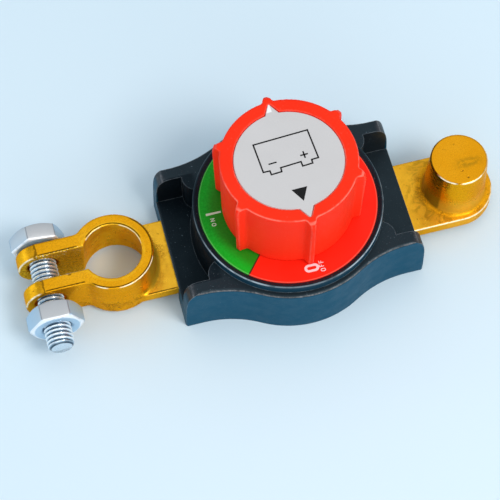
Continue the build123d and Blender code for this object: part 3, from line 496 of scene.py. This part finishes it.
def thread_material():
    """Zinc on the thread: painted shade in the roots, painted highlights on the crests."""
    m = Mat("thread_zinc", rough=0.2, metallic=0.75, color=(0.8, 0.84, 0.9), spec=0.5)
    x, y, z = m.xyz()
    dx, dz = m.math("ADD", x, 0.0712), m.math("SUBTRACT", z, 0.01024)
    r = m.math("SQRT", m.math("ADD", m.math("MULTIPLY", dx, dx), m.math("MULTIPLY", dz, dz)))
    # painted shade and highlight: colour by radius, dark roots, blue-tinted flanks, near-white crests
    t = m.map(r, 0.00325, 0.00392, 0, 1, smooth=False)
    col = m.ramp(t, [(0.0, (0.06, 0.10, 0.14)), (0.34, (0.34, 0.46, 0.56)), (0.62, (0.80, 0.88, 0.96)), (1.0, (0.98, 1.0, 1.0))])
    # painted reflection: the thread's end tinted pale blue
    tip = m.map(y, -0.02232, -0.02238)
    col = m.mix(tip, col, (0.62, 0.72, 0.80))
    col = m.mix(m.math("MULTIPLY", m.map(m.noise(1300, 3, 0.6), 0.62, 0.72), 0.35), col, (0.10, 0.12, 0.14))
    m.set("Base Color", col)
    m.set("Roughness", m.map(m.noise(500, 3, 0.6), 0.3, 0.7, 0.16, 0.30))
    m.set("Normal", m.bump(m.noise(900, 2, 0.5), 0.12, 0.00006))
    return m.m


def simple_metal(name, a, b, rough=(0.25, 0.42), scale=400):
    m = Mat(name, rough=rough[0], metallic=1.0, color=a)
    m.set("Base Color", m.mix(m.noise(scale, 3, 0.6), a, b))
    m.set("Roughness", m.map(m.noise(scale * 1.7, 4, 0.6), 0.3, 0.7, rough[0], rough[1]))
    m.set("Normal", m.bump(m.noise(scale * 3, 2, 0.5), 0.15, 0.00008))
    return m.m


def simple_plastic(name, a, b, rough=(0.4, 0.6), scale=250):
    m = Mat(name, rough=rough[0], color=a)
    m.set("Base Color", m.mix(m.noise(scale, 3, 0.6), a, b))
    m.set("Roughness", m.map(m.noise(scale * 1.7, 4, 0.6), 0.3, 0.7, rough[0], rough[1]))
    m.set("Normal", m.bump(m.noise(scale * 6, 2, 0.5), 0.18, 0.00008))
    return m.m


BRASS = brass_material()
HOUSING = housing_material()
RED = knob_material()
DISC = disc_material()
DIAL = dial_material()
ZINC = zinc_material()
THREAD = thread_material()
INK_ON_RED = simple_plastic("ink_on_red", (0.90, 0.60, 0.60), (0.95, 0.72, 0.72), (0.4, 0.55), 900)
INK_ON_GREEN = simple_plastic("ink_on_green", (0.50, 0.62, 0.42), (0.66, 0.74, 0.56), (0.4, 0.55), 900)
BLACK_INK = simple_plastic("black_ink", (0.006, 0.006, 0.006), (0.014, 0.013, 0.013), (0.5, 0.65))
BLACK_INK.node_tree.nodes["Principled BSDF"].inputs["Specular IOR Level"].default_value = 0.12
COPPER = simple_metal("contact_copper", (0.72, 0.30, 0.17), (0.86, 0.44, 0.28))
SILVER = simple_metal("contact_silver", (0.75, 0.75, 0.73), (0.92, 0.92, 0.90))
STEEL = simple_metal("plated_steel", (0.50, 0.51, 0.53), (0.70, 0.71, 0.73))
SPRING = simple_metal("spring_steel", (0.38, 0.38, 0.40), (0.55, 0.55, 0.58))
RUBBER = simple_plastic("seal_rubber", (0.012, 0.012, 0.012), (0.03, 0.03, 0.03), (0.65, 0.85))
NYLON = simple_plastic("natural_nylon", (0.70, 0.66, 0.56), (0.80, 0.76, 0.66), (0.4, 0.55))
SLIP = simple_plastic("slip_plastic", (0.82, 0.82, 0.80), (0.9, 0.9, 0.88), (0.3, 0.45))
BASE = simple_plastic("base_plastic", (0.014, 0.016, 0.019), (0.03, 0.032, 0.036), (0.45, 0.62))


def use(obj, material):
    obj.data.materials.clear()
    obj.data.materials.append(material)


for n, mt in {"housing": HOUSING, "base_plate": BASE, "base_gasket": RUBBER, "base_screws": STEEL, "terminal_screws": STEEL,
              "clamp_terminal": BRASS, "post_terminal": BRASS, "fixed_contact_left": COPPER, "fixed_contact_right": COPPER,
              "rotor": NYLON, "contact_bridge": COPPER, "bridge_tips": SILVER, "spring_seat": STEEL, "contact_spring": SPRING,
              "thrust_washer": SLIP, "shaft_seal": RUBBER, "retaining_clip": SPRING, "dial_plate": DIAL, "knob": RED,
              "knob_disc": DISC, "knob_washer": STEEL, "knob_screw": STEEL, "clamp_bolt": ZINC, "clamp_nut": ZINC}.items():
    use(nodes[n], mt)


# ------------------------------------------------------------ mesh helpers ----
def new_object(name, mesh, material, body, smooth=True):
    ob = bpy.data.objects.new(name, mesh)
    scene.collection.objects.link(ob)
    mesh.materials.clear()
    mesh.materials.append(material)
    for p in mesh.polygons:
        p.use_smooth = smooth
    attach(ob, body)
    return ob


def from_arrays(name, verts, faces):
    me = bpy.data.meshes.new(name)
    me.from_pydata([tuple(v) for v in verts], [], faces)
    me.validate()
    me.update()
    return me


def recalc(me):
    bm = bmesh.new()
    bm.from_mesh(me)
    bmesh.ops.remove_doubles(bm, verts=bm.verts, dist=1e-6)
    bmesh.ops.recalc_face_normals(bm, faces=bm.faces)
    bm.to_mesh(me)
    bm.free()
    me.update()


def remeshed(node, name, voxel, smooth_steps, amount=0.5):
    """A copy of a CAD node's mesh, remeshed fine and eased, so that its edges are softly rounded like a casting or moulding."""
    me = nodes[node].data.copy()
    me.name = name
    ob = bpy.data.objects.new(name, me)
    scene.collection.objects.link(ob)
    bm = bmesh.new()
    bm.from_mesh(me)
    bmesh.ops.remove_doubles(bm, verts=bm.verts, dist=1e-6)
    bm.to_mesh(me)
    bm.free()
    md = ob.modifiers.new("remesh", "REMESH")
    md.mode = "VOXEL"
    md.voxel_size = voxel
    sm = ob.modifiers.new("smooth", "SMOOTH")
    sm.factor = amount
    sm.iterations = smooth_steps
    dg = bpy.context.evaluated_depsgraph_get()
    done = bpy.data.meshes.new_from_object(ob.evaluated_get(dg))
    bpy.data.objects.remove(ob)
    done.name = name
    return done


def roughen(me, amp_mm, scale_mm, seed, pits=0.0, keep=None):
    """Moves points along their normals by soft noise, in mm, for a cast surface."""
    off = Vector((seed * 3.17, seed * 1.31, seed * 2.03))
    normals = [v.normal.copy() for v in me.vertices]
    for v, nrm in zip(me.vertices, normals):
        p = v.co * (1000 / scale_mm) + off
        d = noise.noise(p) * 0.6 + noise.noise(p * 2.7) * 0.4
        d *= amp_mm
        if pits:
            q = noise.noise(v.co * 900 + off)
            if q < -0.42:
                d += pits * (q + 0.42)
        if keep is not None:
            d *= keep(v.co)
        v.co += nrm * (d * MM)
    me.update()


# ----------------------------------------------------------- brass castings ----
me = remeshed("clamp_terminal", "clamp_casting", 0.00026, 1, 0.5)
roughen(me, 0.03, 1.3, 1, pits=0.2)
clamp = new_object("clamp_casting", me, BRASS, "base")
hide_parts("clamp_terminal")

me = remeshed("post_terminal", "post_casting", 0.00023, 1, 0.5)
roughen(me, 0.03, 1.3, 2, pits=0.2)
post = new_object("post_casting", me, BRASS, "base")
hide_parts("post_terminal")

# --------------------------------------------------------------------- knob ----
me = remeshed("knob", "knob_moulding", 0.00036, 1, 0.5)
knob = new_object("knob_moulding", me, RED, "knob_group")
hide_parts("knob")


me = nodes["knob_disc"].data.copy()
me.name = "disc_insert"
me.transform(Matrix.Translation((0.00000, -0.00006, 0)) @ Matrix.Diagonal((1.007, 1.007, 1.0, 1.0)))
disc = new_object("disc_insert", me, DISC, "knob_group", smooth=False)
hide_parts("knob_disc")


# ------------------------------------------------------------- bolt and nut ----
BX, BZ = -71.2, 10.24
AF = 14.0


def hex_r(a, corner=0.35):
    """Hexagon outline radius at angle a (radians, 0 on a corner), with slightly eased corners."""
    h = AF / 2
    t = (math.degrees(a) % 60) - 30           # 0 at a flat's middle
    r = h / math.cos(math.radians(t))
    rmax = h / math.cos(math.radians(30))
    return min(r, rmax - corner * 0.2)


def hex_body(name, y_in, y_out, turn_deg, chamfer_in, hole_r=None, dish=0.0):
    """Hexagon with 30 degree chamfers. y_out is the outer face, y_in the bearing face."""
    n = 180
    s = 1 if y_out > y_in else -1
    rc = AF / 2 * 0.965
    rings = []

    def ring(rf, yf):
        rings.append([(rf(i), yf(i)) for i in range(n)])

    ang = [2 * math.pi * i / n for i in range(n)]
    hr = [hex_r(a) for a in ang]
    t30 = math.tan(math.radians(30))
    if hole_r:
        ring(lambda i: hole_r, lambda i: y_out - s * 0.9)
        ring(lambda i: hole_r + 0.02, lambda i: y_out - s * 0.62)
        ring(lambda i: hole_r + 0.62, lambda i: y_out - s * 0.03)
        ring(lambda i: hole_r + 0.75, lambda i: y_out)
    else:
        ring(lambda i: 0.4, lambda i: y_out - s * dish)
        ring(lambda i: 3.2, lambda i: y_out - s * dish)
        ring(lambda i: 4.0, lambda i: y_out - s * dish * 0.5)
        ring(lambda i: 4.6, lambda i: y_out)
    ring(lambda i: rc - 0.12, lambda i: y_out)
    ring(lambda i: rc + 0.08, lambda i: y_out - s * 0.06)
    ring(lambda i: hr[i] - 0.10, lambda i: y_out - s * max(0.10, (hr[i] - rc) * t30 - 0.02))
    ring(lambda i: hr[i], lambda i: y_out - s * (0.20 + (hr[i] - rc) * t30))
    if chamfer_in:
        ring(lambda i: hr[i], lambda i: y_in + s * (0.20 + (hr[i] - rc) * t30))
        ring(lambda i: hr[i] - 0.10, lambda i: y_in + s * max(0.10, (hr[i] - rc) * t30 - 0.02))
        ring(lambda i: rc + 0.08, lambda i: y_in + s * 0.06)
        ring(lambda i: rc - 0.12, lambda i: y_in)
    else:
        ring(lambda i: hr[i], lambda i: y_in + s * 0.34)
        ring(lambda i: hr[i] - 0.30, lambda i: y_in + s * 0.02)
        ring(lambda i: hr[i] - 0.36, lambda i: y_in)
    ring(lambda i: (hole_r or 4.0) + 0.6, lambda i: y_in)
    if hole_r:
        ring(lambda i: hole_r + 0.02, lambda i: y_in + s * 0.55)
        ring(lambda i: hole_r, lambda i: y_in + s * 0.8)
    tr = math.radians(turn_deg)
    verts, faces = [], []
    for rg in rings:
        for i, (r, y) in enumerate(rg):
            a = ang[i] + tr
            verts.append(((BX + r * math.cos(a)) * MM, y * MM, (BZ + r * math.sin(a)) * MM))
    m = len(rings)
    for j in range(m - 1 if not hole_r else m):
        for i in range(n):
            a, b = j * n + i, j * n + (i + 1) % n
            k = ((j + 1) % m)
            faces.append((a, b, k * n + (i + 1) % n, k * n + i))
    if not hole_r:
        faces.append(tuple(range(n)))
        faces.append(tuple(reversed(range((m - 1) * n, m * n))))
    me = from_arrays(name, verts, faces)
    recalc(me)
    return me


def thread_mesh(name, y0, y1, major, pitch=1.25, depth=0.72, taper0=0.0):
    """Helical V thread from y0 (under the head) to y1 (the end), with a chamfered end."""
    nseg, per = 72, 12
    length = y0 - y1
    rows = int(length / pitch * per)
    verts, faces = [], []
    for j in range(rows + 1):
        y = y0 - length * j / rows
        for i in range(nseg):
            a = 2 * math.pi * i / nseg
            ph = ((y0 - y) / pitch + a / (2 * math.pi)) % 1.0
            tri = abs(ph - 0.5) * 2              # 1 at the crest, 0 at the root
            prof = min(1.0, max(0.0, (tri - 0.08) / 0.80))
            r = major - depth * (1 - prof)
            e = y - y1                            # distance from the end
            if e < 1.0:
                r = min(r, major - 0.95 * (1.0 - e) - 0.05)
            if taper0 and (y0 - y) < taper0:
                r = min(r, major - depth * 0.9 * (1 - (y0 - y) / taper0))
            verts.append(((BX + r * math.cos(a)) * MM, y * MM, (BZ + r * math.sin(a)) * MM))
    for j in range(rows):
        for i in range(nseg):
            a, b = j * nseg + i, j * nseg + (i + 1) % nseg
            faces.append((a, b, b + nseg, a + nseg))
    top, bot = len(verts), len(verts) + 1
    verts.append((BX * MM, (y0 + 0.0) * MM, BZ * MM))
    verts.append((BX * MM, (y1 - 0.0) * MM, BZ * MM))
    for i in range(nseg):
        faces.append((top, (i + 1) % nseg, i))
        faces.append((bot, rows * nseg + i, rows * nseg + (i + 1) % nseg))
    me = from_arrays(name, verts, faces)
    recalc(me)
    return me


head = new_object("bolt_head", hex_body("bolt_head", 9.1, 14.1, 47.1, False, dish=0.25), ZINC, "bolt")
shank = new_object("bolt_thread", thread_mesh("bolt_thread", 9.15, -22.4, 3.94), THREAD, "bolt")
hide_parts("clamp_bolt")
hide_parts("clamp_bolt")
nut = new_object("hex_nut", hex_body("hex_nut", -10.6, -16.3, -3.5, True, hole_r=4.0), ZINC, "nut")
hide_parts("clamp_nut")


# ---------------------------------------------------------------- dial plate ----
def lathe(name, profile, n=256):
    """profile: closed loop of (r, z) in mm, turned about Z."""
    verts, faces = [], []
    m = len(profile)
    for i in range(n):
        a = 2 * math.pi * i / n
        for r, z in profile:
            verts.append((r * math.cos(a) * MM, r * math.sin(a) * MM, z * MM))
    for i in range(n):
        k = (i + 1) % n
        for j in range(m):
            l = (j + 1) % m
            faces.append((i * m + j, k * m + j, k * m + l, i * m + l))
    me = from_arrays(name, verts, faces)
    recalc(me)
    return me


def round_profile(r0, r1, z0, z1, rad):
    pts = [(r0, z0), (r1 - 0.05, z0), (r1, z0 + 0.05)]
    for k in range(6):
        a = math.radians(90 * k / 5)
        pts.append((r1 - rad + rad * math.cos(a), z1 - rad + rad * math.sin(a)))
    pts += [(r1 * 0.75, z1), (r1 * 0.5, z1), (r0 + 0.1, z1), (r0, z1 - 0.1)]
    return pts


dial = new_object("dial_face", lathe("dial_face", round_profile(9.0, 25.4, 21.2, 22.0, 0.3)), DIAL, "base")
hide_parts("dial_plate")


# --------------------------------------------------------------------- print ----
def flat_shape(name, polys, z, material, body, thick=0.03, holes=(), turn=0.0):
    """Thin raised ink: polygons in mm, made with bmesh from a filled curve."""
    cu = bpy.data.curves.new(name, "CURVE")
    cu.dimensions = "2D"
    cu.fill_mode = "BOTH"
    cu.extrude = thick / 2 * MM
    for poly in list(polys) + list(holes):
        sp = cu.splines.new("POLY")
        sp.points.add(len(poly) - 1)
        for p, (x, y) in zip(sp.points, poly):
            p.co = (x * MM, y * MM, 0, 1)
        sp.use_cyclic_u = True
    ob = bpy.data.objects.new(name + "_c", cu)
    scene.collection.objects.link(ob)
    bpy.context.view_layer.update()
    me = bpy.data.meshes.new_from_object(ob.evaluated_get(bpy.context.evaluated_depsgraph_get()))
    bpy.data.objects.remove(ob)
    me.name = name
    me.transform(Matrix.Rotation(turn, 4, "Z") @ Matrix.Translation((0, 0, (z + thick / 2) * MM)))
    recalc(me)
    return new_object(name, me, material, body, smooth=False)


def rounded_loop(cx, cy, w, h, r, n=10):
    pts = []
    for qx, qy, a0 in ((1, 1, 0), (-1, 1, 90), (-1, -1, 180), (1, -1, 270)):
        for k in range(n + 1):
            a = math.radians(a0 + 90 * k / n)
            pts.append((cx + qx * (w / 2 - r) + r * math.cos(a), cy + qy * (h / 2 - r) + r * math.sin(a)))
    return pts


def stroke(pts, w, closed=False):
    """Outline and hole of a stroked closed polygon (mitred), or of one straight bar."""
    if not closed:
        (x0, y0), (x1, y1) = pts
        dx, dy = x1 - x0, y1 - y0
        l = math.hypot(dx, dy)
        nx, ny = -dy / l * w / 2, dx / l * w / 2
        return [[(x0 + nx, y0 + ny), (x1 + nx, y1 + ny), (x1 - nx, y1 - ny), (x0 - nx, y0 - ny)]]
    out = []
    n = len(pts)
    for side in (1, -1):
        loop = []
        for i in range(n):
            p0, p, p1 = Vector(pts[i - 1]), Vector(pts[i]), Vector(pts[(i + 1) % n])
            d0, d1 = (p - p0).normalized(), (p1 - p).normalized()
            n0, n1 = Vector((-d0.y, d0.x)), Vector((-d1.y, d1.x))
            mdir = (n0 + n1).normalized()
            loop.append(tuple(p + mdir * (side * w / 2 / max(0.3, mdir.dot(n0)))))
        out.append(loop)
    return out


Z_DIAL, Z_DISC = 22.0, 46.4
flat_shape("mark_I", [[(-23.45, 1.38), (-19.1, 1.42), (-19.1, 1.98), (-23.45, 2.08)]], Z_DIAL, INK_ON_GREEN, "base")
flat_shape("mark_0", [rounded_loop(0.94, -21.78, 4.12, 2.35, 1.15)], Z_DIAL, INK_ON_RED, "base",
           holes=[rounded_loop(0.94, -21.78, 2.62, 0.95, 0.46)])


def letter(ch, x, y, h, w, s=0.22):
    """Letters read along +Y with their tops towards -X. (x, y) is the centre, h the height along X, w the width along Y."""
    def q(u, v):      # u along the reading direction, v up, both from the centre
        return (x - v, y + u)
    if ch == "O":
        return [rounded_loop(x, y, h, w, min(h, w) / 2)], [rounded_loop(x, y, h - 2 * s, w - 2 * s, max(0.05, min(h, w) / 2 - s))]
    if ch == "N":
        a, b = w / 2, h / 2
        d = s * 1.15
        return [[q(-a, -b), q(-a, b), q(-a + s, b), q(a - s, -b + d * 1.3), q(a - s, b), q(a, b), q(a, -b), q(a - s, -b), q(-a + s, b - d * 1.3), q(-a + s, -b)]], []
    if ch == "F":
        a, b = w / 2, h / 2
        return [[q(-a, -b), q(-a, b), q(a, b), q(a, b - s), q(-a + s, b - s), q(-a + s, s * 0.55), q(a - 0.15, s * 0.55), q(a - 0.15, -s * 0.45), q(-a + s, -s * 0.45), q(-a + s, -b)]], []


for i, (ch, x, y, h, w, ink) in enumerate([("O", -21.95, -1.78, 1.30, 1.0, INK_ON_GREEN), ("N", -22.0, -0.25, 1.25, 1.0, INK_ON_GREEN),
                                           ("O", 3.89, -23.08, 1.45, 0.95, INK_ON_RED), ("F", 3.70, -21.70, 1.35, 0.8, INK_ON_RED),
                                           ("F", 3.87, -20.57, 1.35, 0.8, INK_ON_RED)]):
    p, hl = letter(ch, x, y, h, w)
    flat_shape("letter_%s_%d" % (ch, i), p, Z_DIAL, ink, "base", holes=hl)

k = 1.017
outline = [(-8.1, 6.7), (7.1, 7.5), (7.7, -1.4), (5.8, -1.5), (5.8, -2.6), (3.0, -2.8), (2.9, -1.4), (-2.8, -1.8), (-2.8, -3.0), (-5.7, -3.2), (-5.8, -2.0), (-7.6, -2.0)]
outline = [(x * k, y * k) for x, y in outline]
lo = stroke(outline, 0.42, closed=True)
flat_shape("battery_outline", [lo[0]], Z_DISC, BLACK_INK, "knob_group", holes=[lo[1]])
flat_shape("minus_mark", stroke([(-5.65 * k, -0.02), (-3.4 * k, 0.12)], 0.40), Z_DISC, BLACK_INK, "knob_group")
flat_shape("plus_bar_a", stroke([(3.2 * k, 0.40 * k), (5.3 * k, 0.50 * k)], 0.42), Z_DISC, BLACK_INK, "knob_group")
flat_shape("plus_bar_b", stroke([(4.22 * k, 1.5 * k), (4.30 * k, -0.6 * k)], 0.42), Z_DISC, BLACK_INK, "knob_group")
flat_shape("pointer_triangle", [[(-1.83, -9.15), (2.54, -9.05), (0.51, -13.1)]], Z_DISC, BLACK_INK, "knob_group")


# ------------------------------------------------------------ floor and light ----
def floor():
    me = from_arrays("floor", [(-4, -4, 0), (4, -4, 0), (4, 4, 0), (-4, 4, 0)], [(0, 1, 2, 3)])
    ob = bpy.data.objects.new("floor", me)
    m = Mat("floor_pale", rough=0.9, color=(0.70, 0.80, 0.86), spec=0.2)
    m.set("Base Color", m.mix(m.noise(3, 2, 0.5), (0.66, 0.78, 0.85), (0.70, 0.81, 0.87)))
    me.materials.append(m.m)
    scene.collection.objects.link(ob)


floor()


def area(name, loc, target, size, power, color=(1, 1, 1)):
    li = bpy.data.lights.new(name, "AREA")
    li.shape = "RECTANGLE"
    li.size, li.size_y = size
    li.energy = power
    li.color = color
    ob = bpy.data.objects.new(name, li)
    ob.location = loc
    ob.rotation_euler = (Vector(target) - Vector(loc)).to_track_quat("-Z", "Y").to_euler()
    scene.collection.objects.link(ob)


def radiance(size, value):
    return value * math.pi * size[0] * size[1]


area("tent", (0, 0.25, 1.25), (0, 0, 0), (1.7, 1.7), radiance((1.7, 1.7), 0.42), (1.0, 0.99, 0.97))
area("key", (0.36, -0.48, 0.80), (0, 0, 0.02), (0.36, 0.36), radiance((0.36, 0.36), 11.0), (1.0, 0.98, 0.96))
area("front", (-0.15, -1.5, 0.50), (0, 0, 0.02), (1.8, 0.95), radiance((1.8, 0.95), 1.2), (1.0, 0.99, 0.98))
area("left", (-1.5, 0.45, 0.42), (0, 0, 0.02), (1.5, 0.8), radiance((1.5, 0.8), 1.3), (0.72, 0.88, 1.0))

w = bpy.data.worlds.new("world")
scene.world = w
w.use_nodes = True
bg = w.node_tree.nodes["Background"]
bg.inputs[0].default_value = (0.70, 0.82, 0.92, 1)
bg.inputs[1].default_value = 0.66
scene.view_settings.view_transform = "Standard"
scene.view_settings.look = "None"
